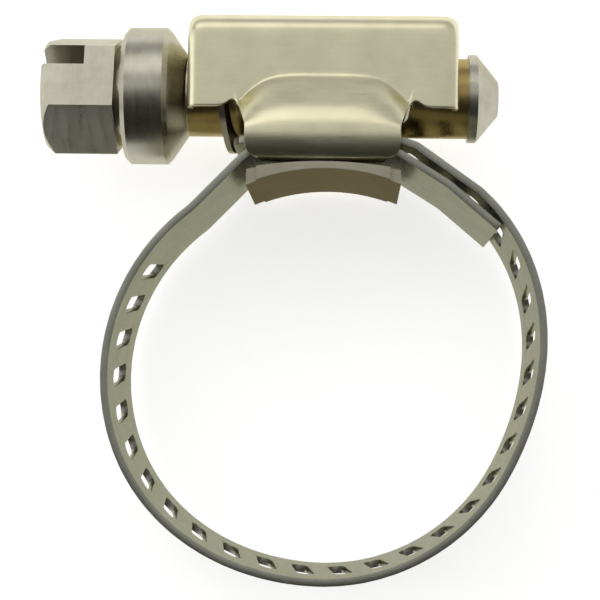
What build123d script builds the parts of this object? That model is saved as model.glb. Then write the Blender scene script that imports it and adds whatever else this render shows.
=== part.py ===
from build123d import *
import math
import os

# Worm-drive hose clamp lying on its side, in millimetres.
# Z is the hose axis, X runs along the screw from the head (-X) to the tip (+X),
# and +Y points from the hose axis to the housing. The origin is on the hose axis,
# at the middle of the band's width.

# ---- the hose and the band ----
hose_r = 14.3
band_w = 12.7
band_t = 0.55
slot_pitch = 2.7
slot_l = 6.6
slot_w = 1.25
loop_slots = 28
tail_slots = 4
band_bend_r = 2.0
tail_nose = 0.3
tail_corner_r = 1.2

# ---- how far the sprung loop stands off the hose, and at which angle ----
tongue_off = 1.4
tongue_angle = 40.0
knee_off = 1.3
knee_angle = 57.0
mouth_x = 5.2
tongue_mouth_x = 4.7
left_off = 0.84
left_peak = 200.0
left_rise_span = 115.0
right_off = 2.25
right_span = 82.0
right_last = 50.0
run_in = 0.75
shoulder_angle = 129.6
lower_start = 268.0
lower_end = 332.0

# ---- the screw, measured along its own axis ----
shank_r = 2.95
crest_r = 4.2
crest_flat = 0.4
root_flat = 0.9
thread_root = 0.15
head_flats = 7.94
head_x = -20.8
head_l = 5.3
head_turn = 48.5
driver_slot_turn = 35.5
head_chamfer = 0.7
driver_slot_w = 1.6
driver_slot_d = 3.1
undercut_r = 3.3
undercut_rise = 0.6
collar_x = -14.95
collar_l = 3.4
collar_r = 5.05
collar_edge = 0.35
cone_end_x = -10.35
thread_turns = 4.5
thread_phase = 0.75
shank_end_x = 10.3
tip_l = 2.2
tip_r = 3.25
tip_cone = 1.6
tip_end_r = 1.3

# ---- the formed housing ----
wall = 0.55
housing_x = -10.1
housing_l = 19.5
skirt_drop = 1.5
crease_rise = 0.4
tab_shoulder_drop = 2.2
tab_x = -6.35
tab_l = 12.2
tab_taper = 2.0
tab_foot_x = -5.75
tab_foot_l = 10.9
lip_reach = 1.75
lip_l = 8.4
cover_bend_r = 1.4
tab_bend_r = 0.6

# ---- the saddle under the band ----
saddle_t = 0.55
saddle_x = -5.65
saddle_l = 10.95
crown_r = 30.0
boss_l = 7.0
boss_w = 9.2
boss_corner_r = 0.8
notch_l = 0.75
notch_w = 0.7

# ---- fits ----
running_gap = 0.08
slide_gap = 0.05
seat_gap = 0.02
tail_gap = 0.1
lip_gap = 0.02
notch_gap = 0.12
crest_side_gap = 0.3
crest_top_gap = 0.6
band_side_gap = 0.35
thread_bite = 0.29

over_cut = 1.0
slot_cut = 1.6 * band_t

saddle_top = hose_r + saddle_t
lip_y = saddle_top + lip_gap
plain_y = lip_y + wall + lip_gap
plain_top = plain_y + band_t
tail_y = plain_top + slide_gap
tail_top = tail_y + band_t
axis_y = tail_top + crest_r - thread_bite
tail_end_x = 5.0
tail_l = (tail_slots + tail_nose) * slot_pitch
tail_x = tail_end_x - tail_l
loop_end_x = tail_end_x + tail_gap
housing_end_x = housing_x + housing_l
half_w = band_w / 2
cover_w = 2 * (crest_r + crest_side_gap + wall)
cover_rise = crest_r + crest_top_gap + wall
tab_w = band_w + 2 * (band_side_gap + wall)
thread_x = loop_end_x - tail_gap / 2 - (tail_slots + thread_phase) * slot_pitch
lead_angle = math.degrees(math.atan(slot_pitch / (2 * math.pi * (crest_r - thread_bite))))


def polar(radius, angle):
    return (radius * math.cos(math.radians(angle)), radius * math.sin(math.radians(angle)))


def stand_off(angle):
    """How far the loop's inner face stands off the hose at an angle along the band."""
    if angle >= lower_end:
        return right_off * (1 - math.cos(math.pi * (angle - lower_end) / right_span)) / 2
    span = left_rise_span if angle < left_peak else lower_start - left_peak
    return left_off * math.cos(math.pi / 2 * (angle - left_peak) / span) ** 2


def loop_points(first, last, count):
    angles = [first + (last - first) * n / (count - 1) for n in range(count)]
    return [polar(hose_r + stand_off(angle), angle) for angle in angles]


os.makedirs("parts", exist_ok=True)

# ---- band loop, from the free end of the tongue round to the housing's mouth ----
left_points = loop_points(shoulder_angle, lower_start, 10)
right_points = loop_points(lower_end, 360 + right_last, 8)
shoulder_foot = left_points[0]
tongue_knee = polar(hose_r + knee_off, knee_angle)

with BuildLine() as band_path:
    FilletPolyline(
        polar(hose_r + tongue_off, tongue_angle),
        tongue_knee,
        (tongue_mouth_x, plain_y),
        (-mouth_x, plain_y),
        shoulder_foot,
        radius=band_bend_r,
    )
    Spline(*left_points)
    CenterArc((0, 0), hose_r, lower_start, lower_end - lower_start)
    Spline(*right_points)
    FilletPolyline(
        right_points[-1],
        (loop_end_x + run_in, tail_y),
        (loop_end_x, tail_y),
        radius=band_bend_r,
    )

path = band_path.wires()[0]


def on_path(distance, out=0.0):
    at = path.position_at(distance, position_mode=PositionMode.LENGTH)
    along = path.tangent_at(distance, position_mode=PositionMode.LENGTH)
    normal = along.cross(Vector(0, 0, 1))
    return Plane(origin=at + normal * out, x_dir=along, z_dir=normal)


spots = [path.length + tail_gap / 2 - (n + 0.5) * slot_pitch for n in range(loop_slots)]
slot_planes = [on_path(spot) for spot in spots]
outer_samples = 10

with BuildPart() as band_loop:
    with BuildSketch():
        with BuildLine():
            add(path)
            start = 0.0
            for edge in path.edges():
                marks = [start + edge.length * n / outer_samples for n in range(outer_samples + 1)]
                outer = [on_path(mark, band_t) for mark in marks]
                start += edge.length
                if edge.geom_type == GeomType.LINE:
                    Line(outer[0].origin, outer[-1].origin)
                elif edge.geom_type == GeomType.CIRCLE:
                    ThreePointArc(outer[0].origin, outer[outer_samples // 2].origin, outer[-1].origin)
                else:
                    Spline(*[plane.origin for plane in outer], tangents=(outer[0].x_dir, outer[-1].x_dir))
            Line(path @ 0, on_path(0, band_t).origin)
            Line(path @ 1, on_path(path.length, band_t).origin)
        make_face()
    extrude(amount=half_w, both=True)
    with BuildSketch(*slot_planes):
        SlotOverall(slot_l, slot_w, rotation=90 - lead_angle)
    extrude(amount=slot_cut, both=True, mode=Mode.SUBTRACT, clean=False)
band_loop.part.label = "band_loop"
export_step(band_loop.part, "parts/band_loop.step")

# ---- slotted end of the band, inside the housing ----
tail_spots = [(tail_end_x + tail_gap / 2 - (n + 0.5) * slot_pitch, 0) for n in range(tail_slots)]
with BuildPart() as band_tail:
    with BuildSketch(Plane.XY.offset(-half_w)):
        with Locations((tail_x, tail_y)):
            Rectangle(tail_l, band_t, align=(Align.MIN, Align.MIN))
    extrude(amount=band_w)
    fillet(band_tail.edges().filter_by(Axis.Y).group_by(Axis.X)[0], radius=tail_corner_r)
    with BuildSketch(Plane(origin=(0, tail_top, 0), x_dir=(1, 0, 0), z_dir=(0, 1, 0))):
        with Locations(*tail_spots):
            SlotOverall(slot_l, slot_w, rotation=90 - lead_angle)
    extrude(amount=-band_t, mode=Mode.SUBTRACT)
band_tail.part.label = "band_tail"
export_step(band_tail.part, "parts/band_tail.step")

# ---- saddle: curved to the hose below, crowned above, with a boss welded to the band ----
boss_rise = plain_y - seat_gap - saddle_top + saddle_t / 2
with BuildPart() as saddle:
    with Locations((saddle_x, 0, 0)):
        Box(saddle_l, saddle_top, band_w, align=(Align.MIN, Align.MIN, Align.CENTER))
    with Locations((saddle_x + saddle_l / 2, saddle_top - crown_r, 0)):
        Cylinder(crown_r, band_w, mode=Mode.INTERSECT)
    with Locations((saddle_x + saddle_l / 2, saddle_top - saddle_t / 2, 0)):
        Box(boss_l, boss_rise, boss_w, align=(Align.CENTER, Align.MIN, Align.CENTER))
    fillet(saddle.edges().filter_by(Axis.Y).group_by(Axis.Y)[-1], radius=boss_corner_r)
    Cylinder(hose_r, band_w, mode=Mode.SUBTRACT)
    for end_x in (saddle_x + notch_l / 2, saddle_x + saddle_l - notch_l / 2):
        for side_z in (-half_w + notch_w / 2, half_w - notch_w / 2):
            with Locations((end_x, saddle_top, side_z)):
                Box(notch_l, 2 * band_w, notch_w, mode=Mode.SUBTRACT)
saddle.part.label = "saddle"
export_step(saddle.part, "parts/saddle.step")

# ---- housing: a formed cover over the screw, with bulged tabs curled under the band ----
cover_z = (cover_w - wall) / 2
cover_y = axis_y + cover_rise - wall / 2
tab_z = (tab_w - wall) / 2
tab_shoulder_y = axis_y - tab_shoulder_drop
skirt_y = axis_y - skirt_drop
lip_mid_y = lip_y + wall / 2
lip_end_z = tab_w / 2 - lip_reach

with BuildPart() as housing:
    with BuildSketch(Plane.YZ.offset(housing_x)):
        with BuildLine():
            cover_line = FilletPolyline(
                (skirt_y, -cover_z),
                (cover_y, -cover_z),
                (cover_y, cover_z),
                (skirt_y, cover_z),
                radius=cover_bend_r,
            )
        trace(cover_line, wall)
    extrude(amount=housing_l)
    with BuildSketch(Plane.YZ.offset(tab_x)):
        with BuildLine():
            for side in (-1, 1):
                FilletPolyline(
                    (cover_y - 2 * cover_bend_r, side * cover_z),
                    (axis_y + crease_rise, side * cover_z),
                    (tab_shoulder_y, side * tab_z),
                    (lip_mid_y, side * tab_z),
                    (lip_mid_y, side * lip_end_z),
                    radius=tab_bend_r,
                )
        trace(line_width=wall)
    extrude(amount=tab_l)
    # the tabs narrow towards their curled edges
    with BuildSketch(Plane.XY.offset(-tab_w)):
        with BuildLine():
            Polyline(
                (tab_x, tab_shoulder_y),
                (tab_foot_x, tab_shoulder_y - tab_taper),
                (tab_foot_x, lip_y - over_cut),
                (tab_x - over_cut, lip_y - over_cut),
                (tab_x - over_cut, tab_shoulder_y),
                close=True,
            )
            Polyline(
                (tab_x + tab_l, tab_shoulder_y),
                (tab_foot_x + tab_foot_l, tab_shoulder_y - tab_taper),
                (tab_foot_x + tab_foot_l, lip_y - over_cut),
                (tab_x + tab_l + over_cut, lip_y - over_cut),
                (tab_x + tab_l + over_cut, tab_shoulder_y),
                close=True,
            )
        make_face()
    extrude(amount=2 * tab_w, mode=Mode.SUBTRACT)
    # the lips under the band stop short of where it bends down
    for side in (-1, 1):
        with Locations((side * (lip_l + tab_l) / 2, lip_y - wall, 0)):
            Box(
                tab_l, 2 * wall + plain_y - lip_y, band_w + 2 * notch_gap,
                align=(Align.CENTER, Align.MIN, Align.CENTER), mode=Mode.SUBTRACT,
            )
    # end walls turned in round the neck and the shank
    for wall_x in (housing_x, housing_end_x - wall):
        with BuildSketch(Plane.YZ.offset(wall_x)):
            with Locations(((cover_y + skirt_y) / 2, 0)):
                Rectangle(cover_y - skirt_y, cover_w - wall)
            with Locations((axis_y, 0)):
                Circle(shank_r + running_gap, mode=Mode.SUBTRACT)
            with Locations((skirt_y, 0)):
                Rectangle(2 * (axis_y - skirt_y), 2 * (shank_r + running_gap), mode=Mode.SUBTRACT)
        extrude(amount=wall)
housing.part.label = "housing"
export_step(housing.part, "parts/housing.step")

# ---- screw: turned about the X axis at axis_y ----
screw_plane = Plane(origin=(0, axis_y, 0), x_dir=(1, 0, 0), z_dir=(0, 0, 1))
head_end_x = head_x + head_l
tip_end_x = shank_end_x + tip_l

with BuildPart() as screw:
    with BuildSketch(screw_plane):
        with BuildLine():
            Polyline(
                (head_end_x - over_cut, 0),
                (head_end_x - over_cut, undercut_r),
                (collar_x, undercut_r + undercut_rise),
                (collar_x, collar_r - collar_edge),
                (collar_x + collar_edge, collar_r),
                (collar_x + collar_l - collar_edge, collar_r),
                (collar_x + collar_l, collar_r - collar_edge),
                (cone_end_x, shank_r),
                (shank_end_x, shank_r),
                (shank_end_x, tip_r),
                (tip_end_x - tip_cone, tip_r),
                (tip_end_x, tip_end_r),
                (tip_end_x, 0),
                close=True,
            )
        make_face()
    revolve(axis=Axis((0, axis_y, 0), (1, 0, 0)))
    # hex head, chamfered to a round at its outer end
    with BuildSketch(Plane(origin=(head_x, axis_y, 0), x_dir=(0, 1, 0), z_dir=(1, 0, 0))):
        RegularPolygon(head_flats / 2, 6, major_radius=False, rotation=head_turn)
    extrude(amount=head_l)
    head_corner_r = head_flats / math.sqrt(3)
    with BuildSketch(screw_plane):
        with BuildLine():
            Polyline(
                (head_x, head_corner_r - head_chamfer),
                (head_x + head_chamfer, head_corner_r),
                (head_x + head_chamfer, head_corner_r + over_cut),
                (head_x - over_cut, head_corner_r + over_cut),
                (head_x - over_cut, head_corner_r - head_chamfer),
                close=True,
            )
        make_face()
    revolve(axis=Axis((0, axis_y, 0), (1, 0, 0)), mode=Mode.SUBTRACT)
    with Locations(Location((head_x, axis_y, 0), (-driver_slot_turn, 0, 0))):
        Box(2 * driver_slot_d, driver_slot_w, 3 * head_flats, mode=Mode.SUBTRACT)
    # worm thread: a right-hand ridge whose crests stand in the middle of the tail's slots
    with BuildLine() as helix_line:
        Helix(
            slot_pitch,
            thread_turns * slot_pitch,
            shank_r,
            center=(thread_x, axis_y, 0),
            direction=(1, 0, 0),
        )
    with BuildSketch(Plane(origin=helix_line.line @ 0, x_dir=(1, 0, 0), z_dir=(0, -1, 0))):
        with BuildLine():
            Polyline(
                (-root_flat / 2, -thread_root),
                (root_flat / 2, -thread_root),
                (crest_flat / 2, crest_r - shank_r),
                (-crest_flat / 2, crest_r - shank_r),
                close=True,
            )
        make_face()
    sweep(path=helix_line.line, is_frenet=True)
screw.part.label = "screw"
export_step(screw.part, "parts/screw.step")
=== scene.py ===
import math

import bpy
from mathutils import Matrix, Vector


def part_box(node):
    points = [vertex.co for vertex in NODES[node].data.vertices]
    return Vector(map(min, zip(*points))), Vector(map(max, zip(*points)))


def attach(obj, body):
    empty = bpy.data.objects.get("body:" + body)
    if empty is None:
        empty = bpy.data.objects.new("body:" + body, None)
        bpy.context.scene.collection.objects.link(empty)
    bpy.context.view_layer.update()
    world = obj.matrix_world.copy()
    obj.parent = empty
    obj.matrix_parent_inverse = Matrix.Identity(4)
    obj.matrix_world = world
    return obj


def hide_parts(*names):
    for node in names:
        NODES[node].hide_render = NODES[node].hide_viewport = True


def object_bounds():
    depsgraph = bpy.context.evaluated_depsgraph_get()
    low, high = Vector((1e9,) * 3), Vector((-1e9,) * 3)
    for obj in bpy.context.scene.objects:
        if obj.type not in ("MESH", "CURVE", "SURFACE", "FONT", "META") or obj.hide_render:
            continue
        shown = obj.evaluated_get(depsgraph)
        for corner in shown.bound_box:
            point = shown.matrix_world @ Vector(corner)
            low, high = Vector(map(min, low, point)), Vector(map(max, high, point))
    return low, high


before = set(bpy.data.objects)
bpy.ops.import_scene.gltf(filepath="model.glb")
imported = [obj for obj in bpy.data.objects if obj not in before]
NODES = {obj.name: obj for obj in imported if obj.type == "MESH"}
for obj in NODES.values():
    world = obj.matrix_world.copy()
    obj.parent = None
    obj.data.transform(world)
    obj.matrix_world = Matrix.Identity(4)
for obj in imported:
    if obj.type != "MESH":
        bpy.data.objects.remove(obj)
cad_low, cad_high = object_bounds()
MM = 0.001
HOSE_R = 14.3
AXIS_Y = 20.5
# how far the replaced pieces stay inside the CAD box
MARGIN = 0.01


# ---------------------------------------------------------------- materials
def add_node(tree, kind, **settings):
    """A new shader node, with its sockets given by name."""
    node = tree.nodes.new(kind)
    for socket, value in settings.items():
        node.inputs[socket.replace("_", " ")].default_value = value
    return node


def add_math(tree, operation, second, third=None):
    node = tree.nodes.new("ShaderNodeMath")
    node.operation = operation
    node.inputs[1].default_value = second
    if third is not None:
        node.inputs[2].default_value = third
    return node


def tint_and_painted_shade(tree, coord, base, centre, axis, inner, outer, half_length, color):
    """The base colour, multiplied by another inside a cylinder along the given axis: the screw shank's own
    brown, and painted shade on the saddle's face towards the hose.
    """
    link = tree.links.new
    around = tree.nodes.new("ShaderNodeVectorMath")
    around.operation = "MULTIPLY_ADD"
    around.inputs[1].default_value = [0.0 if k == axis else 1.0 for k in range(3)]
    around.inputs[2].default_value = [-c * MM for c in centre]
    link(coord.outputs["Object"], around.inputs[0])
    length = tree.nodes.new("ShaderNodeVectorMath")
    length.operation = "LENGTH"
    link(around.outputs["Vector"], length.inputs[0])
    near = add_node(tree, "ShaderNodeMapRange", From_Min=outer * MM, From_Max=inner * MM)
    link(length.outputs["Value"], near.inputs["Value"])
    parts = tree.nodes.new("ShaderNodeSeparateXYZ")
    link(coord.outputs["Object"], parts.inputs["Vector"])
    within = add_math(tree, "COMPARE", 0.0, half_length * MM)
    link(parts.outputs[axis], within.inputs[0])
    inside = tree.nodes.new("ShaderNodeMath")
    inside.operation = "MULTIPLY"
    link(near.outputs["Result"], inside.inputs[0])
    link(within.outputs["Value"], inside.inputs[1])
    tint_and_shade_mix = tree.nodes.new("ShaderNodeMix")
    tint_and_shade_mix.data_type = "RGBA"
    tint_and_shade_mix.blend_type = "MULTIPLY"
    link(inside.outputs["Value"], tint_and_shade_mix.inputs["Factor"])
    link(base, tint_and_shade_mix.inputs["A"])
    tint_and_shade_mix.inputs["B"].default_value = (*color, 1)
    return tint_and_shade_mix.outputs["Result"]


def steel(name, color, dark, roughness, grain, grain_size, tint=None, patch=None, edge=(0.85, 0.83, 0.72)):
    """Bare metal: fine drawn grain along one axis, soft blotches, small dents and scratches."""
    mat = bpy.data.materials.new(name)
    mat.use_nodes = True
    tree = mat.node_tree
    link = tree.links.new
    bsdf = tree.nodes["Principled BSDF"]
    bsdf.inputs["Metallic"].default_value = 1.0
    bsdf.inputs["Specular Tint"].default_value = (*edge, 1)
    coord = tree.nodes.new("ShaderNodeTexCoord")

    stretch = add_node(tree, "ShaderNodeMapping", Scale=grain)
    link(coord.outputs["Object"], stretch.inputs["Vector"])
    fine = add_node(tree, "ShaderNodeTexNoise", Scale=grain_size, Detail=6.0, Roughness=0.65)
    link(stretch.outputs["Vector"], fine.inputs["Vector"])
    cloud = add_node(tree, "ShaderNodeTexNoise", Scale=420.0, Detail=5.0, Roughness=0.6)
    link(coord.outputs["Object"], cloud.inputs["Vector"])
    speck = add_node(tree, "ShaderNodeTexVoronoi", Scale=1900.0)
    link(coord.outputs["Object"], speck.inputs["Vector"])
    pits = add_node(tree, "ShaderNodeMapRange", From_Min=0.05, From_Max=0.22)
    link(speck.outputs["Distance"], pits.inputs["Value"])

    tone = tree.nodes.new("ShaderNodeValToRGB")
    tone.color_ramp.elements[0].position = 0.15
    tone.color_ramp.elements[0].color = (*dark, 1)
    tone.color_ramp.elements[1].position = 0.71
    tone.color_ramp.elements[1].color = (*color, 1)
    if tint:
        mid = tone.color_ramp.elements.new(0.5)
        mid.color = (*tint, 1)
    share = add_math(tree, "MULTIPLY", 0.6)
    link(cloud.outputs["Fac"], share.inputs[0])
    blend = add_math(tree, "MULTIPLY_ADD", 0.4)
    link(fine.outputs["Fac"], blend.inputs[0])
    link(share.outputs["Value"], blend.inputs[2])
    link(blend.outputs["Value"], tone.inputs["Fac"])
    shade = tone.outputs["Color"]
    if patch:
        shade = tint_and_painted_shade(tree, coord, shade, **patch)
    link(shade, bsdf.inputs["Base Color"])

    rough = add_node(tree, "ShaderNodeMapRange", To_Min=roughness - 0.09, To_Max=roughness + 0.12)
    link(fine.outputs["Fac"], rough.inputs["Value"])
    link(rough.outputs["Result"], bsdf.inputs["Roughness"])

    lift = add_math(tree, "MULTIPLY_ADD", 0.35)
    link(pits.outputs["Result"], lift.inputs[0])
    link(fine.outputs["Fac"], lift.inputs[2])
    relief = add_node(tree, "ShaderNodeBump", Strength=0.35, Distance=0.00002)
    link(lift.outputs["Value"], relief.inputs["Height"])
    link(relief.outputs["Normal"], bsdf.inputs["Normal"])
    return mat


BAND = steel(
    "band_steel", (0.48, 0.475, 0.38), (0.28, 0.275, 0.20), 0.27, (1.0, 1.0, 0.06), 2600.0,
    edge=(0.5, 0.5, 0.4),
)
CUT = steel("band_cut_edge", (0.42, 0.43, 0.37), (0.26, 0.26, 0.22), 0.42, (1.0, 1.0, 1.0), 3000.0)
# painted shade: the face towards the hose is multiplied by a dull brown, a painted contact shade where the
# saddle lies on the hose
SADDLE = steel(
    "saddle_steel", (0.52, 0.50, 0.40), (0.34, 0.31, 0.22), 0.34, (0.1, 1.0, 1.0), 2400.0,
    patch=dict(
        centre=(0, 0, 0), axis=2, inner=HOSE_R + 0.02, outer=HOSE_R + 0.1, half_length=20.0,
        color=(0.42, 0.38, 0.29),
    ),
    edge=(0.36, 0.33, 0.25),
)
HOUSING = steel("housing_steel", (0.86, 0.82, 0.59), (0.62, 0.59, 0.42), 0.30, (0.12, 1.0, 1.0), 2200.0)
# warm brown on the neck and the shank
SCREW = steel(
    "screw_steel", (0.56, 0.56, 0.49), (0.28, 0.26, 0.19), 0.28, (1.0, 0.15, 0.15), 2000.0,
    tint=(0.47, 0.45, 0.37),
    patch=dict(
        centre=(0, AXIS_Y, 0), axis=0, inner=3.0, outer=3.2, half_length=10.25,
        color=(0.8, 0.62, 0.3),
    ),
)


def paint(obj, mat):
    obj.data.materials.clear()
    obj.data.materials.append(mat)


def smooth(obj, angle=35):
    obj.data.shade_smooth()
    obj.data.set_sharp_from_angle(angle=math.radians(angle))


def apply_all(obj):
    graph = bpy.context.evaluated_depsgraph_get()
    done = bpy.data.meshes.new_from_object(obj.evaluated_get(graph))
    obj.modifiers.clear()
    obj.data = done


def solid(name, verts, faces, mat, body, thickness, offset, subdivide=0, bevel=0.05, cut=None):
    """A formed sheet: verts in mm make one face of it, and it is thickened to one side."""
    mesh = bpy.data.meshes.new(name)
    mesh.from_pydata([tuple(c * MM for c in v) for v in verts], [], faces)
    mesh.update()
    obj = bpy.data.objects.new(name, mesh)
    bpy.context.scene.collection.objects.link(obj)
    if subdivide:
        soft = obj.modifiers.new("soft", "SUBSURF")
        soft.levels = soft.render_levels = subdivide
    sheet = obj.modifiers.new("sheet", "SOLIDIFY")
    sheet.thickness = thickness * MM
    sheet.offset = offset
    sheet.use_even_offset = True
    rounding = obj.modifiers.new("edge", "BEVEL")
    rounding.width = bevel * MM
    rounding.segments = 2
    rounding.limit_method = "ANGLE"
    rounding.angle_limit = math.radians(50)
    rounding.use_clamp_overlap = False
    apply_all(obj)
    paint(obj, mat)
    if cut:
        obj.data.materials.append(cut)
        for face in obj.data.polygons:
            if abs(face.normal.z) > 0.8:
                face.material_index = 1
    smooth(obj)
    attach(obj, body)
    return obj


# ---------------------------------------------------------------- the band, as a smooth strip with slots
tail_low, tail_high = (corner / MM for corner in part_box("band_tail"))
BAND_T = tail_high.y - tail_low.y
HALF_W = tail_high.z
TAIL_Y = tail_low.y
LAYER_GAP = 0.05
PLAIN_Y = TAIL_Y - BAND_T - LAYER_GAP
PITCH = 2.7
LOOP_SLOTS, TAIL_SLOTS = 28, 4
SLOT_HALF_L = 3.3
SLOT_HALF_W = 0.625
SLOT_TIP_SHARE = 0.18
# the grid has a column inside each bar between slots, this share of the pitch from a slot's middle
BAR_SHARE = 0.36
LEAD = math.tan(math.radians(6.27))
BEND_R = 2.0
TAIL_ROUND = 1.2
# the cut between the band's two pieces falls half way between two slots
END_GAP = 0.1
FIRST_SLOT = (PITCH - END_GAP) / 2
# a narrow straight strip at each end of a band keeps the slots' slant off its cut edge,
# and no slanted column stands within the clear length of an end
END_STRIP, END_CLEAR = 0.06, 0.1
# the loop stands off the hose: a low bump on the left, a wide lift on the right
LEFT_OFF, LEFT_FIRST, LEFT_PEAK, LEFT_LAST, LEFT_RISE = 0.84, 129.6, 200.0, 268.0, 115.0
RIGHT_OFF, RIGHT_FIRST, RIGHT_SPAN, RIGHT_LAST = 2.25, 332.0, 82.0, 410.0
# the tongue lies between the hose and the loop, and bends up into the housing
TONGUE_OFF, TONGUE_ANGLE = 1.4, 40.0
KNEE_OFF, KNEE_ANGLE = 1.3, 57.0
MOUTH_X = 5.2
TONGUE_MOUTH_X = 4.7
LOOP_END_X = tail_high.x + END_GAP
RUN_IN = 0.75


def polar(radius, angle):
    return Vector((radius * math.cos(math.radians(angle)), radius * math.sin(math.radians(angle))))


def on_loop(angle):
    """The loop's inner face at an angle along the band."""
    if angle >= RIGHT_FIRST:
        off = RIGHT_OFF * (1 - math.cos(math.pi * (angle - RIGHT_FIRST) / RIGHT_SPAN)) / 2
    else:
        span = LEFT_RISE if angle < LEFT_PEAK else LEFT_LAST - LEFT_PEAK
        off = LEFT_OFF * math.cos(math.pi / 2 * (angle - LEFT_PEAK) / span) ** 2
    return polar(HOSE_R + off, angle)


def rounded(points, radius, steps=8):
    """The polyline with its inner corners turned into arcs."""
    out = [points[0]]
    for before, corner, after in zip(points, points[1:], points[2:]):
        way_in = (before - corner).normalized()
        way_out = (after - corner).normalized()
        half = math.acos(max(-1, min(1, way_in.dot(way_out)))) / 2
        reach = radius / math.tan(half)
        centre = corner + (way_in + way_out).normalized() * radius / math.sin(half)
        first = corner + way_in * reach - centre
        turn = first.angle_signed(corner + way_out * reach - centre)
        for n in range(steps + 1):
            out.append(centre + Matrix.Rotation(-turn * n / steps, 2) @ first)
    return out + [points[-1]]


def steps(first, last, count):
    """Even steps from first, which is left out, up to last."""
    return [first + (last - first) * n / count for n in range(1, count + 1)]


def loop_line():
    """The band's inner face, from the free end of the tongue round to the slotted end."""
    line = rounded(
        [
            polar(HOSE_R + TONGUE_OFF, TONGUE_ANGLE),
            polar(HOSE_R + KNEE_OFF, KNEE_ANGLE),
            Vector((TONGUE_MOUTH_X, PLAIN_Y)),
            Vector((-MOUTH_X, PLAIN_Y)),
            on_loop(LEFT_FIRST),
        ],
        BEND_R,
    )
    line += [on_loop(angle) for angle in steps(LEFT_FIRST, LEFT_LAST, 100)]
    line += [polar(HOSE_R, angle) for angle in steps(LEFT_LAST, RIGHT_FIRST, 40)]
    *right, last = steps(RIGHT_FIRST, RIGHT_LAST, 60)
    line += [on_loop(angle) for angle in right]
    mouth = [on_loop(last), Vector((LOOP_END_X + RUN_IN, TAIL_Y)), Vector((LOOP_END_X, TAIL_Y))]
    return line + rounded(mouth, BEND_R)


def slot_half_width(z):
    """Half the slot's width at a height z, with its ends rounded."""
    over = max(0.0, abs(z) - (SLOT_HALF_L - SLOT_HALF_W)) / SLOT_HALF_W
    return SLOT_HALF_W * max(SLOT_TIP_SHARE, math.sqrt(max(0.0, 1 - over * over)))


def strip_columns(spots, total, step=0.45):
    """Columns of the strip's grid: where each stands, which side of a slot, how far it leans."""
    spots = sorted(spots)
    first = spots[0] - PITCH / 2
    last = spots[-1] + PITCH / 2
    count = max(1, round(first / step))
    columns = [(first * n / count, 0, n / count) for n in range(count)]
    bar = PITCH * BAR_SHARE
    for spot in spots:
        columns += [(spot - PITCH / 2, 0, 1), (spot - bar, 0, 1)]
        columns += [(spot, -1, 1), (spot, 1, 1), (spot + bar, 0, 1)]
    if total - last > step / 2:
        count = max(1, round((total - last) / step))
        columns += [(last + (total - last) * n / count, 0, 1 - n / count) for n in range(count)]
    columns = [c for c in columns if c[2] == 0 or END_CLEAR < c[0] < total - END_CLEAR]
    return columns + [(total, 0, 0)]


def strip(name, line, spots, node, body, round_end=0.0):
    """A strip along line with slanted slots at the given distances."""
    line = [p for n, p in enumerate(line) if n == 0 or (p - line[n - 1]).length > 1e-4]
    marks = [0.0]
    for first, second in zip(line, line[1:]):
        marks.append(marks[-1] + (second - first).length)
    total = marks[-1]

    def at(distance):
        distance = max(0.0, min(total, distance))
        n = next((k - 1 for k, mark in enumerate(marks) if mark >= distance and k > 0), 0)
        return line[n].lerp(line[n + 1], (distance - marks[n]) / (marks[n + 1] - marks[n]))

    heights = [0, 1.4, SLOT_HALF_L - SLOT_HALF_W, 2.92, 3.12, 3.24, SLOT_HALF_L, 3.5, 4.6, 6.2, HALF_W]
    rows = [-z for z in heights[:0:-1]] + heights
    columns = strip_columns(spots, total)
    verts = []
    for centre, side, slant in columns:
        for z in rows:
            fade = 1.0 if abs(z) <= SLOT_HALF_L else (HALF_W - abs(z)) / (HALF_W - SLOT_HALF_L)
            distance = centre + slant * fade * LEAD * z + side * slot_half_width(z)
            if slant:
                distance = min(max(distance, END_STRIP), total - END_STRIP)
            spot = at(distance)
            wide = z
            over = round_end - (total - distance)
            if round_end and over > 0:
                wide = z * (HALF_W - round_end + math.sqrt(max(0.0, round_end**2 - over**2))) / HALF_W
            verts.append((spot.x, spot.y, wide))
    faces = []
    width = len(rows)
    for i in range(len(columns) - 1):
        in_slot = columns[i][1] == -1
        for j in range(width - 1):
            if in_slot and abs(rows[j] + rows[j + 1]) / 2 < SLOT_HALF_L:
                continue
            faces.append((i * width + j, (i + 1) * width + j, (i + 1) * width + j + 1, i * width + j + 1))
    obj = solid(name, verts, faces, BAND, body, BAND_T, 1, cut=CUT)
    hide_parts(node)


def make_band():
    loop = loop_line()
    length = sum((b - a).length for a, b in zip(loop, loop[1:]))
    spots = [length - FIRST_SLOT - n * PITCH for n in range(LOOP_SLOTS)]
    strip("band_loop_strip", loop, spots, "band_loop", "clamp")
    tail = [Vector((tail_high.x, TAIL_Y)), Vector((tail_low.x + MARGIN, TAIL_Y))]
    spots = [FIRST_SLOT + n * PITCH for n in range(TAIL_SLOTS)]
    strip("band_tail_strip", tail, spots, "band_tail", "tail", round_end=TAIL_ROUND)


# ---------------------------------------------------------------- the housing, as one formed sheet
house_low, house_high = (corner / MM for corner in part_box("housing"))
COVER_HALF, COVER_TOP, COVER_BEND = 5.05, house_high.y - MARGIN, 1.4
TAB_LEFT, TAB_RIGHT, TAB_HALF, SKIRT_Y = -6.35, 5.85, house_high.z - MARGIN, 18.95
TAB_MID = (TAB_LEFT + TAB_RIGHT) / 2
LIP_Y, CURL, CURL_RISE = house_low.y + MARGIN, 1.1, 1.9
LIP_EDGE_Z = 5.55
BORE_R = 3.05
NOTCH_TOP = 0.5
SHEET = 0.45
# the arched line where the tab starts to bulge: its height, its fall, its flat half and its run
CREASE_Y, CREASE_FALL, CREASE_FLAT, CREASE_RUN = 21.25, 2.25, 2.9, 3.3
PLAIN_CREASE_Y = 20.6
SWELL_END_Y = 17.0
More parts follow.
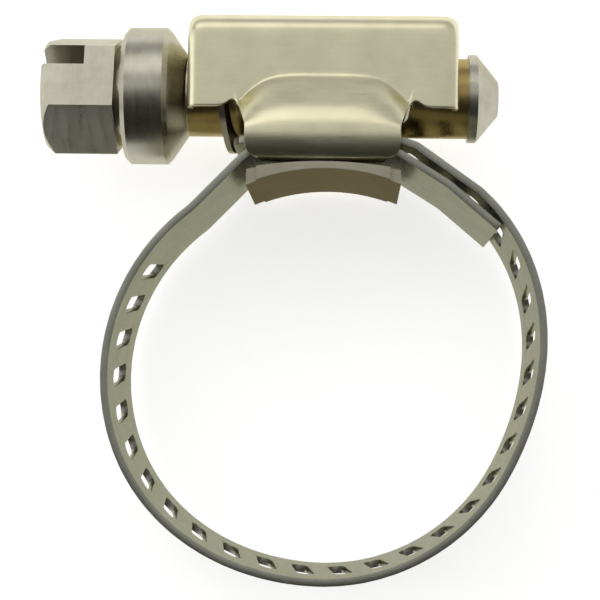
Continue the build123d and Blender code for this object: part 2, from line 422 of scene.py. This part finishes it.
# shares of the tab's width: what its sides lose below the skirt, what the lip and its corner keep
TAPER, TAPER_DEPTH = 0.1, 1.5
LIP_SHARE, LIP_CORNER_SHARE, LIP_BAND = 0.72, 0.84, 0.3


def crease(x):
    """Height of the arched line where the tab starts to bulge."""
    away = max(0.0, abs(x - TAB_MID) - CREASE_FLAT) / CREASE_RUN
    return CREASE_Y - CREASE_FALL * min(1.0, away) ** 2


def cover_points():
    """The cover's half section, from the middle of the top round its bend."""
    centre_z = COVER_HALF - COVER_BEND
    centre_y = COVER_TOP - COVER_BEND
    points = [(COVER_TOP, z) for z in (0, 1.4, 2.8, centre_z - 0.25)]
    for angle in (12, 32, 52, 72, 88):
        t = math.radians(angle)
        points.append((centre_y + COVER_BEND * math.cos(t), centre_z + COVER_BEND * math.sin(t)))
    return points


def tab_points(top, skirt):
    """The bulge, the straight fall and the curled lip of one tab."""
    down = [top - f * (top - skirt) for f in (0.06, 0.3, 0.6, 1.0)]
    down += [18.4, 17.8, 17.3, LIP_Y + CURL_RISE + 0.08]
    points = []
    for y in down:
        f = min(1.0, max(0.0, (top - y) / (top - SWELL_END_Y)))
        swell = (TAB_HALF - COVER_HALF) * math.sin(math.pi / 2 * f) ** 1.15
        points.append((y, COVER_HALF + swell))
    for angle in (12, 35, 58, 80):
        t = math.radians(angle)
        points.append((LIP_Y + CURL_RISE * (1 - math.sin(t)), TAB_HALF - CURL + CURL * math.cos(t)))
    return points + [(LIP_Y, TAB_HALF - CURL - 0.25), (LIP_Y, LIP_EDGE_Z)]


def turned_in(y, z, inset, bore):
    """A point of the section, drawn in towards the axis where the cover's ends close."""
    if inset:
        z *= 1 - inset / COVER_HALF
        if y > AXIS_Y:
            y = AXIS_Y + (y - AXIS_Y) * (1 - inset / (COVER_TOP - AXIS_Y))
    if bore and y > AXIS_Y:
        reach = math.hypot(y - AXIS_Y, z)
        return AXIS_Y + (y - AXIS_Y) * BORE_R / reach, z * BORE_R / reach
    return y, BORE_R if bore else z


def housing_column(x, inset, bore, in_tab, notch):
    """Points of half the section, from the middle of the top down to the skirt or the lip."""
    top = crease(x) if in_tab else PLAIN_CREASE_Y
    skirt = SKIRT_Y + notch
    points = cover_points() + [(y, COVER_HALF) for y in (23.5, 22.6, top + 0.4, top + 0.08)]
    if in_tab:
        points += tab_points(top, skirt)
    else:
        points += [(top - f * (top - skirt), COVER_HALF) for f in (0.06, 0.3, 0.6, 1.0)]
    return [turned_in(y, z, inset, bore) for y, z in points]


def housing_stations():
    """Where each column stands, how far its end is drawn in, if it is the bore's rim, its notch."""
    ends = ((0, 0.9, True), (0, 0.85, False), (0.04, 0.55, False), (0.2, 0.28, False), (0.5, 0.08, False))
    stations = [(house_low.x + x, inset, bore, 0) for x, inset, bore in ends]
    left = ((-9.2, 0), (-8.3, 0), (-7.4, 0.02), (-6.95, 0.45), (-6.6, NOTCH_TOP))
    stations += [(x, 0, False, notch) for x, notch in left]
    shares = (0, 0.03, 0.09, 0.18, 0.3, 0.42, 0.55, 0.68, 0.8, 0.9, 0.97, 1)
    stations += [(TAB_LEFT + (TAB_RIGHT - TAB_LEFT) * f, 0, False, 0) for f in shares]
    right = ((6.1, NOTCH_TOP), (6.5, 0.45), (6.95, 0.02), (7.7, 0), (8.5, 0))
    stations += [(x, 0, False, notch) for x, notch in right]
    return stations + [(house_high.x - x, inset, bore, 0) for x, inset, bore in reversed(ends)]


def tab_share(y, z):
    """The share of the tab's width that is left at a point of its section."""
    if y < LIP_Y + LIP_BAND:
        return LIP_SHARE if abs(z) < TAB_HALF - CURL + 0.25 else LIP_CORNER_SHARE
    if y < SKIRT_Y:
        return 1 - TAPER * min(1.0, (SKIRT_Y - y) / TAPER_DEPTH)
    return 1.0


def make_housing():
    verts, table = [], []
    for x, inset, bore, notch in housing_stations():
        in_tab = TAB_LEFT - 0.01 <= x <= TAB_RIGHT + 0.01
        half = housing_column(x, inset, bore, in_tab, notch)
        section = [(y, -z) for y, z in half[:0:-1]] + half
        place = {}
        for n, (y, z) in enumerate(section, 1 - len(half)):
            narrow = tab_share(y, z) if in_tab else 1.0
            place[n] = len(verts)
            verts.append((TAB_MID + (x - TAB_MID) * narrow, y, z))
        table.append(place)
    faces = []
    for left, right in zip(table, table[1:]):
        keys = sorted(set(left) & set(right))
        for low_key, high_key in zip(keys, keys[1:]):
            faces.append((left[low_key], left[high_key], right[high_key], right[low_key]))
    shell = solid("housing_shell", verts, faces, HOUSING, "clamp", SHEET, -1, subdivide=2)
    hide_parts("housing")


make_band()
make_housing()
for node, mat in (("saddle", SADDLE), ("screw", SCREW)):
    paint(NODES[node], mat)


# ---------------------------------------------------------------- floor, light, camera
def plain(name, color, roughness):
    mat = bpy.data.materials.new(name)
    mat.use_nodes = True
    bsdf = mat.node_tree.nodes["Principled BSDF"]
    bsdf.inputs["Base Color"].default_value = (*color, 1)
    bsdf.inputs["Roughness"].default_value = roughness
    return mat


def facing(place, aim):
    """A turn and a place: the local Z axis points from place to aim."""
    return Matrix.Translation(place) @ (aim - place).to_track_quat("Z", "Y").to_matrix().to_4x4()


def card(name, size, place, aim, mat):
    bpy.ops.mesh.primitive_plane_add(size=1)
    obj = bpy.context.object
    obj.name = name
    obj.data.materials.append(mat)
    scale = Matrix.Diagonal((size[0] * MM, size[1] * MM, 1, 1))
    obj.matrix_world = facing(Vector(place) * MM, Vector(aim) * MM) @ scale
    return obj


def lamp(name, power, size, place, aim, color):
    data = bpy.data.lights.new(name, "AREA")
    data.shape = "RECTANGLE"
    data.size, data.size_y = size[0] * MM, size[1] * MM
    data.energy = power
    data.color = color
    obj = bpy.data.objects.new(name, data)
    bpy.context.scene.collection.objects.link(obj)
    place = Vector(place) * MM
    obj.matrix_world = facing(place, 2 * place - Vector(aim) * MM)


def make_stage():
    """A white floor that glows a little, and a dark card on the -Y side, seen only in reflections."""
    pale = plain("pale_floor", (0.9, 0.9, 0.9), 0.7)
    glow = pale.node_tree.nodes["Principled BSDF"]
    glow.inputs["Emission Color"].default_value = (1, 1, 1, 1)
    glow.inputs["Emission Strength"].default_value = 0.73
    floor_z = cad_low[2] / MM
    floor = card("floor", (3000, 3000), (0, 0, floor_z), (0, 0, floor_z + 100), pale)
    black = plain("shade_card", (0.015, 0.015, 0.013), 0.9)
    dusk = card("shade_card", (420, 150), (0, -85, 45), (0, 0, 35), black)
    dusk.visible_camera = dusk.visible_diffuse = dusk.visible_shadow = False


def make_world(shades):
    """Surroundings that are dark towards -Y, brightest just past the middle and softer at +Y."""
    world = bpy.data.worlds.new("studio")
    bpy.context.scene.world = world
    world.use_nodes = True
    tree = world.node_tree
    link = tree.links.new
    sky = tree.nodes["Background"]
    where = tree.nodes.new("ShaderNodeTexCoord")
    split = tree.nodes.new("ShaderNodeSeparateXYZ")
    link(where.outputs["Generated"], split.inputs["Vector"])
    half = add_math(tree, "MULTIPLY_ADD", 0.5, 0.5)
    link(split.outputs["Y"], half.inputs[0])
    spread = tree.nodes.new("ShaderNodeValToRGB")
    stops = spread.color_ramp.elements
    while len(stops) < len(shades):
        stops.new(0.5)
    for stop, (place, shade) in zip(stops, shades):
        stop.position = place
        stop.color = (shade, shade, shade * 0.98, 1)
    link(half.outputs["Value"], spread.inputs["Fac"])
    link(spread.outputs["Color"], sky.inputs["Color"])
    sky.inputs["Strength"].default_value = 1.0


def make_camera(eye, look, roll, lens):
    """A camera at eye that looks at a point, its level line turned by roll."""
    back = (eye - look).normalized()
    level = Vector((math.cos(roll), math.sin(roll), 0))
    right = -level.cross(back).cross(back).normalized()
    data = bpy.data.cameras.new("camera")
    data.lens = lens
    data.clip_start = 0.005
    camera = bpy.data.objects.new("camera", data)
    bpy.context.scene.collection.objects.link(camera)
    turn = Matrix((right, back.cross(right), back)).transposed().to_4x4()
    camera.matrix_world = Matrix.Translation(eye) @ turn
    bpy.context.scene.camera = camera


make_stage()
make_world(((0.0, 0.02), (0.3, 0.05), (0.47, 0.16), (0.55, 0.74), (0.72, 0.6), (1.0, 0.42)))
lamp("key", 0.07, (200, 140), (-60, 190, 170), (0, 8, 0), (1.0, 0.98, 0.94))
lamp("side", 0.05, (100, 160), (-210, 30, 90), (0, 8, 0), (1.0, 0.98, 0.95))
bpy.context.scene.view_settings.view_transform = "Standard"
make_camera(Vector((2.16, -2.65, 125.0)) * MM, Vector((-1.88, 5.44, 0.0)) * MM, math.radians(0.73), 102.0)
